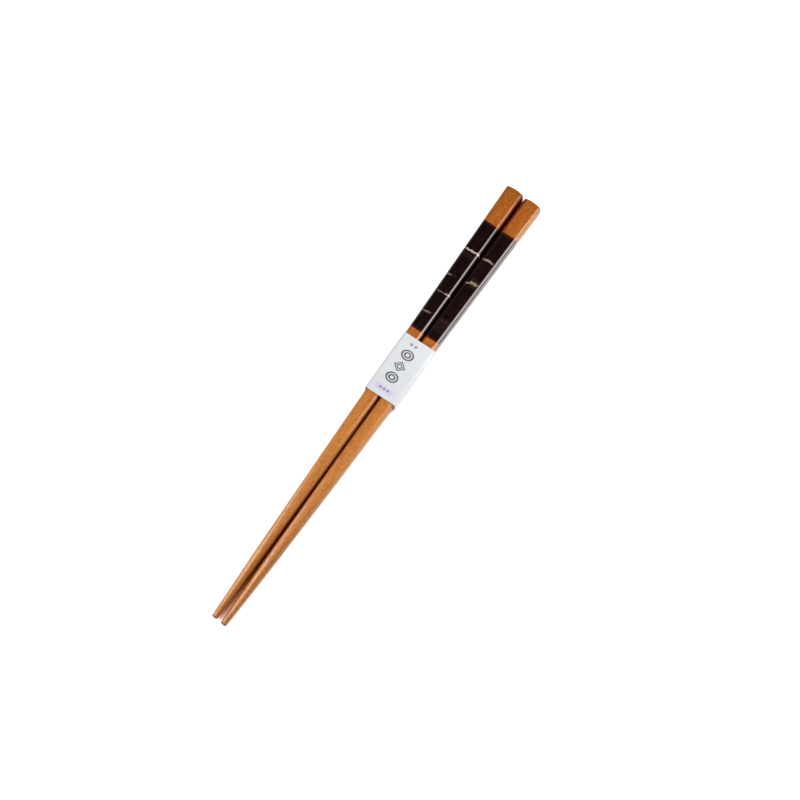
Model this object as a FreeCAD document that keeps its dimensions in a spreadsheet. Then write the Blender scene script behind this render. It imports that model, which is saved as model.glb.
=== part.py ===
import FreeCAD, Part
import os
import Sketcher

# A pair of tapered wooden chopsticks lying side by side, held by a paper band.
# Millimetres. +X points to the thick heads, +Y across the pair, +Z up.
# The origin is under the middle of the pair, on the table.

os.makedirs("parts", exist_ok=True)
doc = FreeCAD.newDocument("chopstick_pair")
V = FreeCAD.Vector

# Driving dimensions
SIZES = [
    ("stick_length", 230.0, "one stick, crown of the head to the tip"),
    ("head_width", 8.1, "section at the head, square"),
    ("head_corner", 1.2, "corner radius there"),
    ("grip_from_head", 112.0, "head to the end of the straight, square grip"),
    ("grip_width", 6.55, "section at the end of the grip, still square"),
    ("grip_corner", 1.5, "corner radius there"),
    ("shoulder_from_head", 150.0, "head to the middle of the change from square to round"),
    ("shoulder_width", 5.95, "section there"),
    ("shoulder_corner", 2.2, "corner radius there"),
    ("neck_from_head", 195.0, "head to the neck, where the point begins"),
    ("neck_width", 4.6, "section there, nearly round"),
    ("tip_width", 2.65, "section at the tip, nearly round"),
    ("round_flat", 0.2, "flat left in the middle of each side of the nearly round sections"),
    ("head_crown", 0.5, "drop of the domed head end at the middle of each side"),
    ("head_rim", 0.6, "rounding round the head end"),
    ("tip_rim", 0.5, "rounding round the tip"),
    ("head_spacing", 9.6, "centre to centre of the sticks at their heads"),
    ("tip_spacing", 4.95, "centre to centre of the sticks at their tips"),
    ("right_slip", 0.5, "how far the right stick has slid towards its tip"),
    ("band_from_head", 80.3, "head to the near edge of the band"),
    ("band_length", 29.75, "width of the paper strip, along the sticks"),
    ("paper_thickness", 0.2, "one layer of paper"),
    ("fold_radius", 1.0, "inside of the paper's folds"),
    ("left_clearance_head", 0.05, "paper to the left stick at the band's head edge"),
    ("right_clearance_head", 0.6, "paper to the right stick at the band's head edge"),
    ("left_clearance_tip", 0.5, "paper to the left stick at the band's tip edge"),
    ("right_clearance_tip", 0.65, "paper to the right stick at the band's tip edge"),
    ("top_clearance", 0.15, "paper to the top faces of the sticks"),
    ("seat_clearance", 0.02, "paper to the undersides of the sticks"),
    ("lap_width", 9.0, "glued overlap under the pair"),
    ("lap_rise", 0.8, "slope where the outer layer rises to the inner one"),
    ("lap_offset", 1.5, "middle of the overlap, from the pair's centre line"),
]
sheet = doc.addObject("Spreadsheet::Sheet", "sizes")
for row, (alias, size, note) in enumerate(SIZES, start=1):
    sheet.set(f"A{row}", alias)
    sheet.set(f"B{row}", str(size))
    sheet.set(f"C{row}", note)
    sheet.setAlias(f"B{row}", alias)
doc.recompute()

# Formulas that several pieces share, written in the sheet's names
HALF_TAPER = "((sizes.head_width - sizes.grip_width) / 2)"
LEVEL_PITCH = f"(-atan({HALF_TAPER} / sizes.grip_from_head))"
HALF_CONVERGENCE = "asin((sizes.head_spacing - sizes.tip_spacing) / (2 * sizes.stick_length))"
SEAT_Z = "(2 * sizes.paper_thickness + sizes.seat_clearance)"
AXIS_Z = f"({SEAT_Z} + sizes.head_width / 2 * cos({LEVEL_PITCH}))"
HEAD_X = "(sizes.stick_length + sizes.right_slip) / 2"
BAND_HEAD_EDGE = "sizes.band_from_head"
BAND_TIP_EDGE = "(sizes.band_from_head + sizes.band_length)"
CROWN_RADIUS = "((sizes.head_width / 2) ^ 2 / (2 * sizes.head_crown) + sizes.head_crown / 2)"
# How far the waste that the dome takes off reaches past the stick's axis
REACH = "sizes.head_width"


def width_at(distance):
    """Width of a stick's grip, which tapers evenly, this far from the head."""
    return (f"(sizes.head_width - (sizes.head_width - sizes.grip_width)"
            f" * {distance} / sizes.grip_from_head)")


def spacing_at(distance):
    """Centre to centre of the two sticks, this far from their heads."""
    return (f"(sizes.head_spacing - (sizes.head_spacing - sizes.tip_spacing)"
            f" * {distance} / sizes.stick_length)")


def value(expression):
    return float(sheet.evalExpression(expression.replace("sizes.", "")))


def require(condition, message):
    if not condition:
        raise RuntimeError(message)


# Sketch helpers
START, END, CENTRE = range(1, 4)
X_AXIS = -START
ORIGIN_POINT = (X_AXIS, START)
# Sketch points nearer than this are one point
COINCIDENT = 1e-6


def origin_plane(body, role):
    for feature in body.Origin.OriginFeatures:
        if feature.Role == role:
            return feature
    raise ValueError(role)


def new_sketch(body, name, role):
    sketch = body.newObject("Sketcher::SketchObject", name)
    sketch.AttachmentSupport = [(origin_plane(body, role), "")]
    sketch.MapMode = "FlatFace"
    return sketch


def bind(sketch, kind, refs, expression, name):
    """Add a sketch dimension that follows a formula of the sheet."""
    index = sketch.addConstraint(Sketcher.Constraint(kind, *refs, value(expression)))
    sketch.renameConstraint(index, name)
    sketch.setExpression(f"Constraints.{name}", expression)


def place_point(sketch, point, x_formula, y_formula, name):
    """Fix a sketch point by its distances from the origin, signs as drawn."""
    for kind, formula, axis in (("DistanceX", x_formula, "x"), ("DistanceY", y_formula, "y")):
        if value(formula) > 0:
            bind(sketch, kind, (*ORIGIN_POINT, *point), formula, f"{name}_{axis}")
        else:
            bind(sketch, kind, (*point, *ORIGIN_POINT), f"-({formula})", f"{name}_{axis}")


def draw_rounded_rectangle(sketch, left, right, floor, roof, radius, name):
    """Four sides and four corner arcs; sides are given by their distances from the origin.

    left and floor are distances to the negative side, so a floor above the origin is negative.
    """
    x0, x1, y0, y1 = -value(left), value(right), -value(floor), value(roof)
    r = value(radius)
    k = r * (1 - 0.5 ** 0.5)
    sides = [
        Part.LineSegment(V(x0 + r, y0, 0), V(x1 - r, y0, 0)),
        Part.LineSegment(V(x1, y0 + r, 0), V(x1, y1 - r, 0)),
        Part.LineSegment(V(x1 - r, y1, 0), V(x0 + r, y1, 0)),
        Part.LineSegment(V(x0, y1 - r, 0), V(x0, y0 + r, 0)),
    ]
    corners = [
        Part.Arc(V(x1 - r, y0, 0), V(x1 - k, y0 + k, 0), V(x1, y0 + r, 0)),
        Part.Arc(V(x1, y1 - r, 0), V(x1 - k, y1 - k, 0), V(x1 - r, y1, 0)),
        Part.Arc(V(x0 + r, y1, 0), V(x0 + k, y1 - k, 0), V(x0, y1 - r, 0)),
        Part.Arc(V(x0, y0 + r, 0), V(x0 + k, y0 + k, 0), V(x0 + r, y0, 0)),
    ]
    side_ids = sketch.addGeometry(sides, False)
    corner_ids = sketch.addGeometry(corners, False)
    for i, corner in enumerate(corner_ids):
        for side, side_end in ((side_ids[i], END), (side_ids[(i + 1) % 4], START)):
            spot = sketch.getPoint(side, side_end)
            meets_start = sketch.getPoint(corner, START).distanceToPoint(spot) < COINCIDENT
            corner_end = START if meets_start else END
            sketch.addConstraint(Sketcher.Constraint("Tangent", side, side_end, corner, corner_end))
    for i in (0, 2):
        sketch.addConstraint(Sketcher.Constraint("Horizontal", side_ids[i]))
        sketch.addConstraint(Sketcher.Constraint("Vertical", side_ids[i + 1]))
    for first, second in zip(corner_ids, corner_ids[1:]):
        sketch.addConstraint(Sketcher.Constraint("Equal", first, second))
    bind(sketch, "Radius", (corner_ids[0],), radius, f"{name}_corner")
    bind(sketch, "DistanceX", (*ORIGIN_POINT, side_ids[1], START), right, f"{name}_right")
    bind(sketch, "DistanceX", (side_ids[3], START, *ORIGIN_POINT), left, f"{name}_left")
    bind(sketch, "DistanceY", (*ORIGIN_POINT, side_ids[2], START), roof, f"{name}_roof")
    if y0 < 0:
        bind(sketch, "DistanceY", (side_ids[0], START, *ORIGIN_POINT), floor, f"{name}_floor")
    else:
        bind(sketch, "DistanceY", (*ORIGIN_POINT, side_ids[0], START), f"-({floor})", f"{name}_floor")


def section_plane(body, name, distance):
    """A sketch across the body, this far from its head end towards its tip end."""
    section = new_sketch(body, name, "YZ_Plane")
    section.setExpression("AttachmentOffset.Base.z", f"-({distance})")
    return section


def add_loft(body, kind, name, sections):
    """Join the sections by straight lines, so that each side stays flat."""
    loft = body.newObject(kind, name)
    loft.Profile = sections[0]
    loft.Sections = [(section, "") for section in sections[1:]]
    loft.Ruled = True
    doc.recompute()
    return loft


def draw_crown_waste(sketch):
    """What the dome of the head takes off, to be turned about the stick's axis."""
    radius, reach = value(CROWN_RADIUS), value(REACH)
    rim = V((radius ** 2 - reach ** 2) ** 0.5 - radius, reach, 0)
    half_rim = V((radius ** 2 - reach ** 2 / 4) ** 0.5 - radius, reach / 2, 0)
    dome, side, top, axis = sketch.addGeometry([
        Part.Arc(V(0, 0, 0), half_rim, rim),
        Part.LineSegment(rim, V(reach, reach, 0)),
        Part.LineSegment(V(reach, reach, 0), V(reach, 0, 0)),
        Part.LineSegment(V(reach, 0, 0), V(0, 0, 0)),
    ], False)
    ends = {w: sketch.getPoint(dome, w) for w in (START, END)}
    low, high = (START, END) if ends[START].y < ends[END].y else (END, START)
    for one, other in [((dome, high), (side, START)), ((side, END), (top, START)),
                       ((top, END), (axis, START)), ((axis, END), (dome, low)),
                       ((dome, low), ORIGIN_POINT)]:
        sketch.addConstraint(Sketcher.Constraint("Coincident", *one, *other))
    sketch.addConstraint(Sketcher.Constraint("Horizontal", side))
    sketch.addConstraint(Sketcher.Constraint("Vertical", top))
    sketch.addConstraint(Sketcher.Constraint("PointOnObject", dome, CENTRE, X_AXIS))
    bind(sketch, "Radius", (dome,), CROWN_RADIUS, "crown_radius")
    place_point(sketch, (side, END), REACH, REACH, "corner")
    sketch.addConstraint(Sketcher.Constraint("PointOnObject", top, END, X_AXIS))


def edges_where(feature, test):
    return [f"Edge{i}" for i, edge in enumerate(feature.Shape.Edges, start=1) if test(edge)]


def add_fillet(body, name, base, edge_names, radius):
    fillet = body.newObject("PartDesign::Fillet", name)
    fillet.Base = (base, edge_names)
    fillet.setExpression("Radius", radius)
    doc.recompute()
    return fillet


def build_stick(name, side, slip):
    """One stick about its own axis, square at the head and round at the tip, laid in its place."""
    body = doc.addObject("PartDesign::Body", name)
    body.Label = name

    stations = [
        ("head", "0", "sizes.head_width", "sizes.head_corner"),
        ("grip", "sizes.grip_from_head", "sizes.grip_width", "sizes.grip_corner"),
        ("shoulder", "sizes.shoulder_from_head", "sizes.shoulder_width", "sizes.shoulder_corner"),
        ("neck", "sizes.neck_from_head", "sizes.neck_width",
         "(sizes.neck_width - sizes.round_flat) / 2"),
        ("tip", "sizes.stick_length", "sizes.tip_width", "(sizes.tip_width - sizes.round_flat) / 2"),
    ]
    sections = []
    for station, distance, width, corner in stations:
        section = section_plane(body, f"{name}_{station}", distance)
        half = f"{width} / 2"
        draw_rounded_rectangle(section, half, half, half, half, corner, station)
        sections.append(section)
    shaft = add_loft(body, "PartDesign::AdditiveLoft", f"{name}_shaft", sections)

    dome = new_sketch(body, f"{name}_dome", "XY_Plane")
    draw_crown_waste(dome)
    crowned = body.newObject("PartDesign::Groove", f"{name}_crowned")
    crowned.Profile = dome
    crowned.ReferenceAxis = (dome, ["H_Axis"])
    crowned.Angle = 360
    doc.recompute()
    require(crowned.Shape.Volume < shaft.Shape.Volume, f"{name} was not domed")

    head_zone = -value("sizes.head_width")
    head_rim = edges_where(crowned, lambda edge: edge.BoundBox.XMin > head_zone)
    rimmed = add_fillet(body, f"{name}_head_rim", crowned, head_rim, "sizes.head_rim")

    tip_zone = -value("sizes.stick_length - sizes.tip_width / 2")
    tip_rim = edges_where(rimmed, lambda edge: edge.BoundBox.XMax < tip_zone)
    tipped = add_fillet(body, f"{name}_tip_rim", rimmed, tip_rim, "sizes.tip_rim")
    body.Tip = tipped

    across = f"{side} * sizes.head_spacing / 2"
    turn = f"{side} * {HALF_CONVERGENCE}"
    body.setExpression("Placement", f"placement(vector({HEAD_X} - {slip}; {across}; {AXIS_Z});"
                                    f" rotation({turn}; {LEVEL_PITCH}; 0))")
    doc.recompute()
    return body


def build_band():
    """A paper strip folded round both sticks and glued to itself underneath."""
    body = doc.addObject("PartDesign::Body", "paper_band")
    body.Label = "paper_band"
    edges = [("head", BAND_HEAD_EDGE, "0"), ("tip", BAND_TIP_EDGE, "sizes.band_length")]

    def sleeve_surface(kind, layer, growth, radius, name):
        """Join the sections at the band's two edges, this much outside the paper's inner face."""
        sections = []
        for edge, distance, along in edges:
            section = section_plane(body, f"{layer}_{edge}_section", along)
            span = f"({spacing_at(distance)} + {width_at(distance)}) / 2 + {growth}"
            draw_rounded_rectangle(
                section,
                f"{span} + sizes.right_clearance_{edge}",
                f"{span} + sizes.left_clearance_{edge}",
                f"-(2 * sizes.paper_thickness - {growth})",
                f"{SEAT_Z} + {width_at(distance)} + sizes.top_clearance + {growth}",
                radius, edge)
            sections.append(section)
        return add_loft(body, kind, name, sections)

    outside = sleeve_surface("PartDesign::AdditiveLoft", "outer", "sizes.paper_thickness",
                             "sizes.fold_radius + sizes.paper_thickness", "outside")
    sleeve = sleeve_surface("PartDesign::SubtractiveLoft", "inner", "0", "sizes.fold_radius", "inside")
    require(sleeve.Shape.Volume < outside.Shape.Volume / 2, "the band was not hollowed")

    lap_section = new_sketch(body, "lap_section", "YZ_Plane")
    lap_left = "sizes.lap_width / 2 - sizes.lap_offset"
    lap_right = "sizes.lap_width / 2 + sizes.lap_offset"
    x0, x1, rise, top = (value(f) for f in (lap_left, lap_right, "sizes.lap_rise",
                                            "sizes.paper_thickness"))
    corners = [V(-x0, 0, 0), V(x1, 0, 0), V(x1 + rise, top, 0), V(-x0, top, 0)]
    ids = lap_section.addGeometry([Part.LineSegment(corners[i], corners[(i + 1) % 4])
                                   for i in range(4)], False)
    for i in range(4):
        lap_section.addConstraint(Sketcher.Constraint("Coincident", ids[i], END, ids[(i + 1) % 4], START))
    for i in (0, 2):
        lap_section.addConstraint(Sketcher.Constraint("Horizontal", ids[i]))
    lap_section.addConstraint(Sketcher.Constraint("Vertical", ids[3]))
    lap_section.addConstraint(Sketcher.Constraint("PointOnObject", ids[0], START, X_AXIS))
    bind(lap_section, "DistanceX", (ids[0], START, *ORIGIN_POINT), lap_left, "free_edge")
    bind(lap_section, "DistanceX", (*ORIGIN_POINT, ids[0], END), lap_right, "lap_end")
    bind(lap_section, "DistanceX", (ids[0], END, ids[2], START), "sizes.lap_rise", "rise")
    bind(lap_section, "DistanceY", (ids[0], START, ids[2], END), "sizes.paper_thickness", "layer")
    lap = body.newObject("PartDesign::Pad", "lap")
    lap.Profile = lap_section
    lap.Reversed = True
    lap.setExpression("Length", "sizes.band_length")
    doc.recompute()
    require(lap.Shape.Volume > sleeve.Shape.Volume, "the lap was not added")
    body.Tip = lap

    body.setExpression("Placement", f"placement(vector({HEAD_X} - {BAND_HEAD_EDGE}; 0; 0);"
                                    f" rotation(0; 0; 0))")
    doc.recompute()
    return body


pieces = [
    build_stick("left_chopstick", "1", "0"),
    build_stick("right_chopstick", "-1", "sizes.right_slip"),
    build_band(),
]

doc.recompute()
for item in doc.Objects:
    require(not {"Invalid", "Error"} & set(item.State), f"{item.Name} failed: {item.State}")
for piece in pieces:
    shape = piece.Shape
    require(not shape.isNull() and shape.isValid(), f"{piece.Label} is not a valid shape")
    require(len(shape.Solids) == 1, f"{piece.Label} is not one solid")
    shape.exportStep(f"parts/{piece.Label}.step")
    box = shape.optimalBoundingBox()
    print(piece.Label, f"{shape.Volume:.1f} mm3", f"x {box.XMin:.2f} {box.XMax:.2f}",
          f"y {box.YMin:.2f} {box.YMax:.2f}", f"z {box.ZMin:.2f} {box.ZMax:.2f}")
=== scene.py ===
import math

import bmesh
import bpy
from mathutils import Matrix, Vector


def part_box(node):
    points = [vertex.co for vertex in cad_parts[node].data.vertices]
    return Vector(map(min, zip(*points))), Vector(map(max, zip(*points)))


# A pair of lacquered wooden chopsticks held by a paper band, on a white table.
# Metres, in the row's frame: +X to the heads, +Y across the pair, +Z up.

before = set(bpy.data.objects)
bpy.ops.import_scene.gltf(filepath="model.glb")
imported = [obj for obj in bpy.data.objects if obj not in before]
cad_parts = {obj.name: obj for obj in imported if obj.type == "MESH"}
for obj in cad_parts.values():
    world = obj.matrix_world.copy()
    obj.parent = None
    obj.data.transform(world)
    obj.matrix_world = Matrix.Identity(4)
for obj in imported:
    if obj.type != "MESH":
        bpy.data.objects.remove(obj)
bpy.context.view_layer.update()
MM = 0.001

scene = bpy.context.scene
scene.view_settings.view_transform = "Standard"


def srgb(red, green, blue):
    """A colour given as 0 to 255 screen values, as the linear RGBA that shaders take."""
    def linear(value):
        value /= 255
        return value / 12.92 if value <= 0.04045 else ((value + 0.055) / 1.055) ** 2.4
    return (linear(red), linear(green), linear(blue), 1.0)


def grey(level):
    return (level, level, level, 1.0)


class Nodes:
    """Short names for building the node tree of a material or a world."""

    def __init__(self, owner):
        owner.use_nodes = True
        self.tree = owner.node_tree
        self.tree.nodes.clear()

    def add(self, kind, **settings):
        node = self.tree.nodes.new(kind)
        for key, value in settings.items():
            setattr(node, key, value)
        return node

    def put(self, socket, value):
        """Set a socket to a number or colour, or link another node's output to it."""
        if isinstance(value, bpy.types.NodeSocket):
            self.tree.links.new(value, socket)
        else:
            socket.default_value = value

    def make(self, kind, **values):
        """Add a node, fill its named inputs and give its first output."""
        node = self.add(kind)
        for key, value in values.items():
            self.put(node.inputs[key.replace("_", " ")], value)
        return node.outputs[0]

    def join(self, kind, *shaders):
        """Add a node that takes its inputs in order, such as a sum or a mix of shaders."""
        node = self.add(kind)
        for socket, shader in zip(node.inputs, shaders):
            self.put(socket, shader)
        return node.outputs[0]

    def math(self, operation, *values):
        node = self.add("ShaderNodeMath", operation=operation)
        for socket, value in zip(node.inputs, values):
            self.put(socket, value)
        return node.outputs[0]

    def plus(self, first, second):
        return self.math("ADD", first, second)

    def minus(self, first, second):
        return self.math("SUBTRACT", first, second)

    def times(self, first, second):
        return self.math("MULTIPLY", first, second)

    def magnitude(self, value):
        return self.math("ABSOLUTE", value)

    def hypot(self, first, second):
        return self.math("SQRT", self.plus(self.times(first, first), self.times(second, second)))

    def place(self):
        return self.add("ShaderNodeTexCoord").outputs["Object"]

    def split(self, vector):
        node = self.add("ShaderNodeSeparateXYZ")
        self.put(node.inputs[0], vector)
        return node.outputs

    def grain(self, vector, seed, length, width, shift, detail, roughness=0.5):
        """Noise whose blobs are this long along X and this wide across it, from 0 to 1.

        The seed tells one stick from the other, and its shift tells the noises of a piece apart.
        """
        start = seed + shift
        mapped = self.make("ShaderNodeMapping", Vector=vector, Location=(start, start, start),
                           Scale=(1 / length, 1 / width, 1 / width))
        return self.make("ShaderNodeTexNoise", Vector=mapped, Scale=1.0, Detail=detail,
                         Roughness=roughness)

    def ramp(self, fac, stops):
        """Colours by value, from (value, colour) pairs."""
        node = self.add("ShaderNodeValToRGB")
        elements = node.color_ramp.elements
        while len(elements) < len(stops):
            elements.new(1.0)
        for element, (place, colour) in zip(elements, stops):
            element.position = place
            element.color = colour
        self.put(node.inputs["Fac"], fac)
        return node.outputs["Color"]

    def smooth(self, value, low, high, bottom=0.0, top=1.0):
        """Goes smoothly from bottom to top as value goes from low to high."""
        node = self.add("ShaderNodeMapRange", interpolation_type="SMOOTHSTEP")
        inputs = ("Value", "From Min", "From Max", "To Min", "To Max")
        for key, number in zip(inputs, (value, low, high, bottom, top)):
            self.put(node.inputs[key], number)
        return node.outputs["Result"]

    def line(self, distance, half_width, soft):
        """1 where the distance from a line is under half its width, fading over soft."""
        return self.smooth(self.magnitude(distance), half_width, half_width + soft, 1.0, 0.0)

    def between(self, value, low, high, soft):
        """1 from low to high, fading to 0 over soft at each end."""
        rise = self.smooth(value, low - soft / 2, low + soft / 2)
        fall = self.smooth(value, high - soft / 2, high + soft / 2, 1.0, 0.0)
        return self.times(rise, fall)

    def mix(self, fac, first, second):
        node = self.add("ShaderNodeMix", data_type="RGBA")
        self.put(node.inputs["Factor"], fac)
        self.put(node.inputs[6], first)
        self.put(node.inputs[7], second)
        return node.outputs[2]

    def lay_over(self, colour, value, low, high, strength, tone):
        """A tone over a colour, from nothing to this strength as value goes from low to high."""
        return self.mix(self.smooth(value, low, high, 0.0, strength), colour, tone)

    def facing(self, axis):
        """The X, Y or Z component of the surface's direction."""
        normal = self.add("ShaderNodeNewGeometry").outputs["Normal"]
        return self.split(normal)["XYZ".index(axis)]

    def bump(self, height, depth, strength):
        return self.make("ShaderNodeBump", Height=height, Distance=depth, Strength=strength)

    def surface(self, shader, output="ShaderNodeOutputMaterial"):
        self.put(self.add(output).inputs["Surface"], shader)


def new_material(name):
    material = bpy.data.materials.new(name)
    return material, Nodes(material)


# Noises: length of a blob along the pair, its width across, the shift of the seed, detail and
# roughness of the noise
RINGS = (28 * MM, 2.6 * MM, 0, 3.0, 0.55)
MOTTLE = (2.4 * MM, 0.8 * MM, 7, 4.0, 0.62)
FIBRE = (9 * MM, 0.16 * MM, 13, 3.0, 0.6)
PORE = (1.6 * MM, 0.07 * MM, 19, 1.0)
LACQUER_CLOUD = (6 * MM, 2.5 * MM, 23, 3.0)
MARK_WAVER = (1.4 * MM, 1.4 * MM, 29, 2.0)
MARK_PATCHES = (0.9 * MM, 0.9 * MM, 31, 2.0)
EDGE_WAVER = (1000 * MM, 1.6 * MM, 37, 2.0)
FLECK = (1.1 * MM, 0.55 * MM, 41, 2.0)
PAPER_FIBRE = (0.5 * MM, 0.35 * MM, 3, 4.0, 0.7)
PAPER_CLOUD = (5 * MM, 4 * MM, 11, 2.0)
# A noise's middle value
MEAN = 0.5

# Oiled wood

# Colours by the value of a noise
HEAD_RINGS = [(0.3, srgb(148, 72, 8)), (0.5, srgb(160, 81, 14)), (0.72, srgb(172, 92, 24))]
TAIL_RINGS = [(0.3, srgb(184, 104, 24)), (0.5, srgb(198, 118, 34)), (0.72, srgb(210, 134, 48))]
# Tones laid over the rings, in order: a noise, the values between which the tone comes in, how
# strong it gets, and its colour at the head and at the tail
WOOD_TONES = [
    (FLECK, 0.5, 0.66, 0.6, (182, 112, 18), (214, 150, 46)),
    (FLECK, 0.5, 0.34, 0.6, (146, 60, 10), (188, 94, 28)),
    (MOTTLE, 0.5, 0.72, 0.55, (214, 136, 46), (214, 136, 46)),
    (MOTTLE, 0.48, 0.28, 0.55, (156, 70, 20), (156, 70, 20)),
    (FIBRE, 0.5, 0.75, 0.30, (138, 66, 24), (138, 66, 24)),
    (PORE, 0.62, 0.74, 0.55, (92, 42, 16), (92, 42, 16)),
]
# Distances from the head over which the head's tones turn into the tail's
TONE_CHANGE = (80 * MM, 130 * MM)
# How straight along the pair a surface faces where its end grain comes in
END_GRAIN_FACING = (0.7, 0.95)
END_GRAIN_STRENGTH = 0.5
END_GRAIN = srgb(120, 62, 28)
# Painted shade on the last part of each tip, standing for the shadow on its small end face
TIP_SHADE_LENGTH = 0.45 * MM
TIP_SHADE_STRENGTH = 0.8
TIP_SHADE = srgb(70, 46, 38)
# Painted shade on the inner side of each stick, in the gap where the other stick shades it
INNER_SHADE_STRENGTH = 0.75
INNER_PAINTED_SHADE = srgb(104, 22, 8)
# Relief: how high the fibres stand as a share of a pore's depth, where the pores come in, the
# depth itself and how much of it the light shows
FIBRE_HEIGHT = 0.5
PORE_PITS = (0.6, 0.74)
GRAIN_DEPTH = 0.03 * MM
GRAIN_STRENGTH = 0.5

# Lacquer, with worn pale marks

LACQUER_SHADES = [(0.35, srgb(10, 1, 0)), (0.65, srgb(25, 8, 5))]
BORDER = srgb(66, 22, 7)
BORDER_FADE = 1.5 * MM
LACQUER_SOFT_EDGE = 0.25 * MM
EDGE_WAVER_REACH = 0.5 * MM
MARK_WAVER_REACH = 1.1 * MM
MARK_SOFT_END = 0.8 * MM
# Values of a noise between which a mark goes from worn to full, and what is left where it is worn
MARK_WEAR = (0.2, 0.6)
WORN_SHARE = 0.55
# The lacquer fills the grain almost level
LACQUERED_GRAIN = 0.04
# Where the lacquer starts and ends, from each stick's head
LEFT_LACQUER = (19.25 * MM, 76.6 * MM)
RIGHT_LACQUER = (18.85 * MM, 76.2 * MM)
# Each mark: distance from the stick's head, how much further along it is for each millimetre
# towards +Y, half of its thickness, where it starts and ends across the pair (Y), its colour and
# its strength. Millimetres.
LEFT_MARKS = [
    (34.2, 0.04, 0.34, 0.8, 9.0, (210, 188, 172), 0.92),
    (36.6, -0.10, 1.30, 1.5, 7.5, (50, 28, 18), 0.45),
    (48.3, 0.30, 0.44, 5.6, 9.0, (128, 116, 112), 0.9),
    (47.8, 0.0, 0.40, 3.5, 6.6, (50, 42, 38), 0.6),
    (56.6, 0.10, 0.25, 2.4, 6.8, (144, 120, 112), 0.68),
    (56.4, 0.0, 0.44, 0.6, 2.8, (180, 154, 148), 0.75),
    (67.5, 0.14, 0.38, 3.2, 8.2, (124, 110, 98), 0.85),
]
RIGHT_MARKS = [
    (33.4, -0.12, 0.44, -6.3, -3.0, (174, 158, 136), 0.75),
    (33.5, 0.15, 0.36, -3.6, -1.4, (164, 150, 130), 0.75),
    (45.4, 0.10, 0.66, -6.4, -3.0, (156, 138, 116), 0.8),
    (46.2, 0.55, 0.38, -3.6, -1.2, (162, 148, 134), 0.78),
    (44.2, -0.10, 0.80, -7.2, -2.2, (54, 42, 16), 0.4),
    (46.8, 0.30, 0.70, -7.0, -3.6, (52, 42, 16), 0.4),
    (66.4, 0.10, 0.80, -7.2, -1.2, (66, 44, 44), 0.4),
    (69.5, 0.0, 2.40, -7.5, -0.8, (44, 28, 27), 0.4),
]

# Varnish over both

VARNISH_IOR = 1.85
WOOD_ROUGHNESS = 0.28
LACQUER_ROUGHNESS = 0.19
# Duller gloss where the shade on the inner sides is painted
INNER_SHADE_ROUGHNESS = 0.6
# What colour the varnish gives to a mirrored lamp
WOOD_SHINE = (1.0, 1.0, 0.74, 1.0)
TAIL_SHINE = (1.0, 1.0, 0.92, 1.0)
LACQUER_SHINE = (1.0, 0.87, 0.86, 1.0)
# Dim shine where the shade on the inner sides is painted, a painted shade on the reflections there
INNER_SHADE_SHINE = grey(0.15)
SHINE_CHANGE = (60 * MM, 130 * MM)
# How far from the pair's middle the painted shade on the inner side of each stick reaches, where
# the other stick shades it; at the head and from the end of the change on
LEFT_INNER_SHADE = (1.65 * MM, 1.1 * MM)
RIGHT_INNER_SHADE = (2.4 * MM, 1.45 * MM)
INNER_SHADE_CHANGE = (0.0, 120 * MM)
INNER_SHADE_FADE = 0.9 * MM


def wood_colour(m, place, along, seed):
    """Colour and relief of oiled wood: drifting rings, flecks, fine fibre and short dark pores."""
    noise = {kind: m.grain(place, seed, *kind) for kind in (RINGS, MOTTLE, FIBRE, PORE, FLECK)}
    to_tail = m.smooth(along, *TONE_CHANGE)
    colour = m.mix(to_tail, m.ramp(noise[RINGS], HEAD_RINGS), m.ramp(noise[RINGS], TAIL_RINGS))
    for kind, low, high, strength, at_head, at_tail in WOOD_TONES:
        tone = m.mix(to_tail, srgb(*at_head), srgb(*at_tail))
        colour = m.lay_over(colour, noise[kind], low, high, strength, tone)
    pits = m.smooth(noise[PORE], *PORE_PITS)
    relief = m.minus(m.times(noise[FIBRE], FIBRE_HEIGHT), pits)
    return colour, relief


def lacquer_colour(m, place, along, across, marks, seed):
    """Near-black brown lacquer with slanting cream marks, each wavering a little."""
    colour = m.ramp(m.grain(place, seed, *LACQUER_CLOUD), LACQUER_SHADES)
    waver = m.times(m.minus(m.grain(place, seed, *MARK_WAVER), MEAN), MARK_WAVER_REACH)
    patches = m.grain(place, seed, *MARK_PATCHES)
    for start, slant, half_width, low, high, shade, strength in marks:
        centre = m.plus(m.times(m.minus(across, (low + high) / 2 * MM), slant), start * MM)
        distance = m.plus(m.minus(along, centre), waver)
        mark = m.times(m.line(distance, half_width / 2 * MM, half_width * MM),
                       m.between(across, low * MM, high * MM, MARK_SOFT_END))
        wear = m.smooth(patches, *MARK_WEAR, WORN_SHARE * strength, strength)
        colour = m.mix(m.times(mark, wear), colour, srgb(*shade))
    return colour


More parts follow.
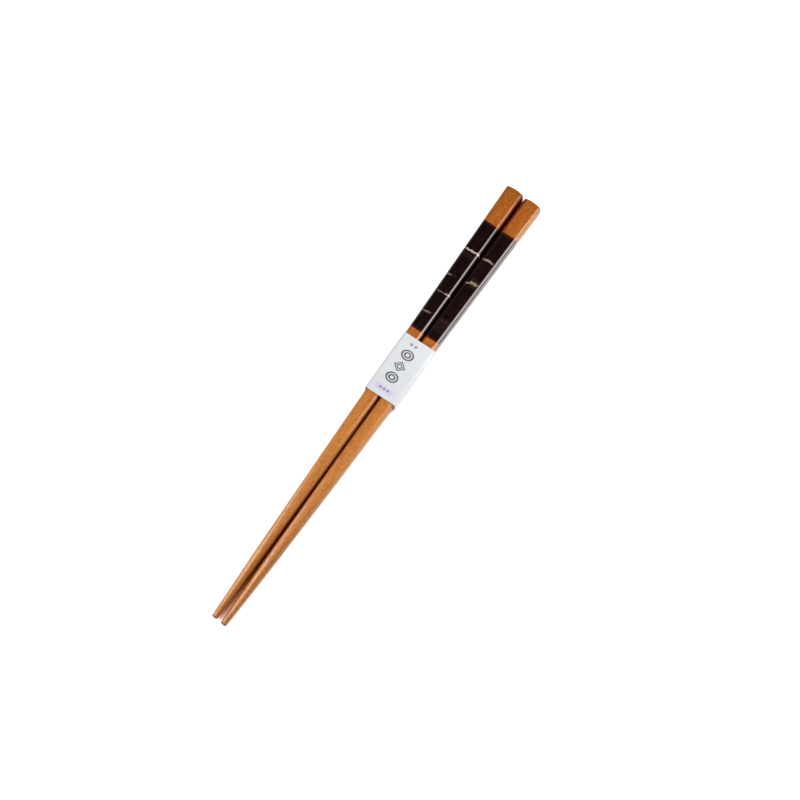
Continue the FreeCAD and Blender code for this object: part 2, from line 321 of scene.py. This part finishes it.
def stick_material(node_name, lacquer_span, marks, inner_shade_reach, seed):
    """One stick: oiled wood with a lacquered length, both under varnish."""
    material, m = new_material(node_name + "_wood")
    low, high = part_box(node_name)
    length = high.x - low.x
    place = m.place()
    x, y = m.split(place)[:2]
    along = m.minus(high.x, x)

    wood, relief = wood_colour(m, place, along, seed)
    wood = m.lay_over(wood, m.facing("X"), *END_GRAIN_FACING, END_GRAIN_STRENGTH, END_GRAIN)
    # Painted shade at the very tip
    wood = m.lay_over(wood, along, length - TIP_SHADE_LENGTH, length - TIP_SHADE_LENGTH / 2,
                      TIP_SHADE_STRENGTH, TIP_SHADE)
    # Painted shade on the inner side of each stick, where the other stick shades it; the same mask
    # dulls the gloss and dims the shine below
    reach = m.smooth(along, *INNER_SHADE_CHANGE, *inner_shade_reach)
    inner_shade = m.smooth(m.magnitude(y), m.minus(reach, INNER_SHADE_FADE), reach, 1.0, 0.0)
    wood = m.mix(m.times(inner_shade, INNER_SHADE_STRENGTH), wood, INNER_PAINTED_SHADE)

    waver = m.times(m.minus(m.grain(place, seed, *EDGE_WAVER), MEAN), EDGE_WAVER_REACH)
    edge_along = m.plus(along, waver)
    near, far = lacquer_span
    lacquered = m.between(edge_along, near, far, LACQUER_SOFT_EDGE)
    lacquer = lacquer_colour(m, place, along, y, marks, seed)
    clear_of_border = m.between(edge_along, near + BORDER_FADE / 2, far - BORDER_FADE / 2,
                                BORDER_FADE)
    lacquer = m.mix(m.minus(1.0, clear_of_border), lacquer, BORDER)
    colour = m.mix(lacquered, wood, lacquer)

    roughness = m.smooth(lacquered, 0.0, 1.0, WOOD_ROUGHNESS, LACQUER_ROUGHNESS)
    roughness = m.smooth(inner_shade, 0.0, 1.0, roughness, INNER_SHADE_ROUGHNESS)
    shine = m.mix(m.smooth(along, *SHINE_CHANGE), WOOD_SHINE, TAIL_SHINE)
    shine = m.mix(lacquered, shine, LACQUER_SHINE)
    shine = m.mix(inner_shade, shine, INNER_SHADE_SHINE)
    open_grain = m.smooth(lacquered, 0.0, 1.0, 1.0, LACQUERED_GRAIN)
    normal = m.bump(m.times(relief, open_grain), GRAIN_DEPTH, GRAIN_STRENGTH)
    m.surface(m.make("ShaderNodeBsdfPrincipled", Base_Color=colour, Roughness=roughness,
                     Normal=normal, IOR=VARNISH_IOR, Specular_Tint=shine))
    return material


# Paper band, with generic printed figures

PAPER_SHADES = [(0.3, srgb(205, 207, 210)), (0.7, srgb(213, 215, 217))]
# Values of the cloud noise between which the grey comes in, and its strength
PAPER_GREY_REACH = (0.4, 0.7, 0.35)
PAPER_GREY = srgb(201, 204, 209)
PAPER_ROUGHNESS = 0.85
# Relief: how high the fibres and the clouds stand as shares of the depth, the depth itself and how
# much of it the light shows
PAPER_FIBRE_HEIGHT = 0.3
PAPER_CLOUD_HEIGHT = 3.0
PAPER_DEPTH = 0.03 * MM
PAPER_STRENGTH = 0.4
INK = srgb(58, 60, 66)
PRINT_LINE = 0.24 * MM
PRINT_SOFT = 0.12 * MM
# How far under the band's top the print fades out on the way down the sides
PRINT_END = (1.2 * MM, 0.9 * MM)
# Values of the fibre noise over which the ink goes from its thinnest to full, and that thinnest
INK_SPREAD = (0.3, 0.6)
THIN_INK = 0.75
# Places of the figures, from the band's edge nearest the heads: distance along and place across
# (Y). Sizes are half of the length and half of the width. Millimetres.
FIGURE_Y = 0.5
FIGURE_SIZE = (2.1, 2.6)
RINGS_AT = [(8.15, FIGURE_Y), (19.95, FIGURE_Y)]
LOZENGES_AT = [(14.1, FIGURE_Y)]
# Outlines of a figure, as shares of its size
FIGURE_LINES = (1.0, 0.5)
DOTS_AT = [(3.2, 1.8), (3.2, -0.4)]
DOT_RADIUS = 0.75 * MM
DOT_STRENGTH = 0.6
PATCH_AT = (26.1, 0.3)
PATCH_SIZE = (1.3, 4.4)
PATCH_SOFT = (1.4 * MM, 2.2 * MM)
PATCH_COLOUR = srgb(200, 190, 220)
PATCH_DOTS_AT = [(26.1, 2.2), (26.1, 0.3), (26.1, -1.6)]
PATCH_DOT_RADIUS = 0.55 * MM
PATCH_INK = srgb(116, 98, 146)


def paper_material():
    material, m = new_material("band_paper")
    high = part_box("paper_band")[1]
    place = m.place()
    x, y, z = m.split(place)
    along = m.minus(high.x, x)

    fibre = m.grain(place, 0, *PAPER_FIBRE)
    cloud = m.grain(place, 0, *PAPER_CLOUD)
    colour = m.lay_over(m.ramp(fibre, PAPER_SHADES), cloud, *PAPER_GREY_REACH, PAPER_GREY)

    def from_spot(spot):
        """How far along and across from a spot of the print."""
        return m.minus(along, spot[0] * MM), m.minus(y, spot[1] * MM)

    def rectangle(spot, half_sizes, soft):
        ranges = zip((along, y), spot, half_sizes, soft)
        return m.times(*(m.between(value, (middle - half) * MM, (middle + half) * MM, fade)
                         for value, middle, half, fade in ranges))

    def dot(spot, radius):
        distance = m.hypot(*from_spot(spot))
        return m.smooth(distance, radius - PRINT_SOFT, radius + PRINT_SOFT, 1.0, 0.0)

    def figure(spot, is_round):
        """Two outlines, one inside the other, round or four-cornered."""
        u, v = (m.times(offset, 1 / (size * MM))
                for offset, size in zip(from_spot(spot), FIGURE_SIZE))
        share = m.hypot(u, v) if is_round else m.plus(m.magnitude(u), m.magnitude(v))
        unit = FIGURE_SIZE[0] * MM
        lines = (m.line(m.minus(share, at), PRINT_LINE / unit, PRINT_SOFT / unit)
                 for at in FIGURE_LINES)
        return m.math("MAXIMUM", *lines)

    top = m.smooth(z, high.z - PRINT_END[0], high.z - PRINT_END[1])
    ink_here = m.times(top, m.smooth(fibre, *INK_SPREAD, THIN_INK, 1.0))

    def printed(form, ink, strength=1.0):
        return m.mix(m.times(m.times(form, ink_here), strength), colour, ink)

    colour = printed(rectangle(PATCH_AT, PATCH_SIZE, PATCH_SOFT), PATCH_COLOUR)
    for spot in PATCH_DOTS_AT:
        colour = printed(dot(spot, PATCH_DOT_RADIUS), PATCH_INK)
    for spot in DOTS_AT:
        colour = printed(dot(spot, DOT_RADIUS), INK, DOT_STRENGTH)
    for spot in RINGS_AT:
        colour = printed(figure(spot, True), INK)
    for spot in LOZENGES_AT:
        colour = printed(figure(spot, False), INK)

    relief = m.plus(m.times(fibre, PAPER_FIBRE_HEIGHT), m.times(cloud, PAPER_CLOUD_HEIGHT))
    m.surface(m.make("ShaderNodeBsdfPrincipled", Base_Color=colour, Roughness=PAPER_ROUGHNESS,
                     Normal=m.bump(relief, PAPER_DEPTH, PAPER_STRENGTH)))
    return material


# Table

FLOOR_HALF = 4.0
# The table lies a hair lower than the band, so that their flat faces don't fight
FLOOR_DROP = 0.02 * MM
# How far away something still shades a spot of the table
FLOOR_SHADE_REACH = 8 * MM
FLOOR_FILL = 0.87
# The table's painted shade: its colour by how open to the sky it is, between the sticks and beside
# them, brown between them as a painted glow of light thrown from the wood
GAP_SHADES = [(0.05, srgb(50, 6, 2)), (0.25, srgb(128, 50, 18)), (0.45, srgb(222, 132, 66)),
              (0.62, grey(0.92))]
OPEN_SHADES = [(0.05, srgb(120, 104, 94)), (0.4, srgb(214, 202, 194)), (0.55, grey(0.92))]
# Distances from the pair's middle over which the one turns into the other
GAP_EDGE = (1.5 * MM, 3 * MM)
# From where on the table counts as open, and how much sooner it does beside the sticks
FLOOR_CLEAR = (0.42, 0.62)
OPEN_SHARE = 0.1


def floor_material():
    """White paper, brighter to the eye in the open, with painted shade where it is closed in that
    turns brown between the sticks as painted light thrown from the wood.

    Seen from below it lets the eye through to the pair.
    """
    material, m = new_material("table")
    sky = m.add("ShaderNodeAmbientOcclusion", samples=16)
    sky.inputs["Distance"].default_value = FLOOR_SHADE_REACH
    openness = sky.outputs["AO"]
    beside = m.smooth(m.magnitude(m.split(m.place())["Y"]), *GAP_EDGE)
    # Painted shade and painted brown bounce light, by how open each spot of the table is
    painted_shade_tint = m.mix(beside, m.ramp(openness, GAP_SHADES), m.ramp(openness, OPEN_SHADES))
    clear = m.smooth(m.plus(openness, m.times(beside, OPEN_SHARE)), *FLOOR_CLEAR)
    seen = m.add("ShaderNodeLightPath").outputs["Is Camera Ray"]
    paper = m.make("ShaderNodeBsdfDiffuse", Color=painted_shade_tint)
    glow = m.make("ShaderNodeEmission", Color=painted_shade_tint,
                  Strength=m.times(m.times(clear, FLOOR_FILL), seen))
    from_below = m.times(m.add("ShaderNodeNewGeometry").outputs["Backfacing"], seen)
    m.surface(m.join("ShaderNodeMixShader", from_below,
                     m.join("ShaderNodeAddShader", paper, glow),
                     m.make("ShaderNodeBsdfTransparent")))
    return material


def dress(obj, material):
    obj.data.materials.clear()
    obj.data.materials.append(material)


def add_floor():
    mesh = bpy.data.meshes.new("floor")
    build = bmesh.new()
    corners = ((-1, -1), (1, -1), (1, 1), (-1, 1))
    build.faces.new([build.verts.new((x * FLOOR_HALF, y * FLOOR_HALF, -FLOOR_DROP))
                     for x, y in corners])
    build.to_mesh(mesh)
    build.free()
    floor = bpy.data.objects.new("floor", mesh)
    scene.collection.objects.link(floor)
    dress(floor, floor_material())


# Light and camera

def add_world(horizon, ceiling):
    """A dim room, brighter round the horizon than overhead, and white to the eye."""
    world = bpy.data.worlds.new("studio")
    scene.world = world
    m = Nodes(world)
    height = m.split(m.add("ShaderNodeTexCoord").outputs["Generated"])["Z"]
    glow = m.ramp(height, [(0.3, grey(horizon)), (0.8, grey(ceiling))])
    seen = m.add("ShaderNodeLightPath").outputs["Is Camera Ray"]
    m.surface(m.make("ShaderNodeBackground", Color=m.mix(seen, glow, grey(1.0))),
              "ShaderNodeOutputWorld")


def add_lamp(name, place, aim, size, spread, power):
    """A rectangular soft box turned to a point of the table; size is along X and up."""
    light = bpy.data.lights.new(name, "AREA")
    light.shape = "RECTANGLE"
    light.size, light.size_y = size
    light.spread = math.radians(spread)
    light.energy = power
    lamp = bpy.data.objects.new(name, light)
    scene.collection.objects.link(lamp)
    lamp.location = place
    lamp.rotation_euler = (Vector(aim) - Vector(place)).to_track_quat("-Z", "Y").to_euler()
    lamp.visible_camera = False


def add_camera(azimuth, elevation, distance, scale, origin_pixel):
    """A camera turned so that (0, 0, 0) shows at origin_pixel of the 800-pixel picture.

    The scale is metres to a pixel.
    """
    a, e = math.radians(azimuth), math.radians(elevation)
    back = Vector((math.sin(a) * math.cos(e), -math.cos(a) * math.cos(e), math.sin(e)))
    right = Vector((math.cos(a), math.sin(a), 0))
    up = back.cross(right)
    middle = 400
    sensor = 36
    target = (right * (middle - origin_pixel[0]) + up * (origin_pixel[1] - middle)) * scale
    camera_data = bpy.data.cameras.new("camera")
    camera_data.sensor_width = sensor
    camera_data.lens = sensor * distance / (scale * 2 * middle)
    camera_data.clip_end = 50
    camera = bpy.data.objects.new("camera", camera_data)
    scene.collection.objects.link(camera)
    camera.location = target + back * distance
    camera.rotation_euler = back.to_track_quat("Z", "Y").to_euler()
    scene.camera = camera


dress(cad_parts["left_chopstick"],
      stick_material("left_chopstick", LEFT_LACQUER, LEFT_MARKS, LEFT_INNER_SHADE, 0.0))
dress(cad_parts["right_chopstick"],
      stick_material("right_chopstick", RIGHT_LACQUER, RIGHT_MARKS, RIGHT_INNER_SHADE, 3.7))
dress(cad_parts["paper_band"], paper_material())

add_floor()
add_world(horizon=0.42, ceiling=0.01)
# The two near boxes draw the bright lines along the sticks' edges, the high one lights the pair
add_lamp("right_soft_box", place=(0.091, -0.097, 0.096), aim=(0.058, 0, 0), size=(0.103, 0.175),
         spread=110, power=0.125)
add_lamp("left_soft_box", place=(-0.057, 0.119, 0.152), aim=(-0.104, 0, 0), size=(0.054, 0.28),
         spread=110, power=0.084)
add_lamp("high_soft_box", place=(-0.254, 0.072, 0.464), aim=(0, 0, 0), size=(0.5, 0.5),
         spread=180, power=1.52)
add_camera(azimuth=-55.299, elevation=72.7, distance=4.0, scale=0.42815 * MM,
           origin_pixel=(372.855, 410.542))
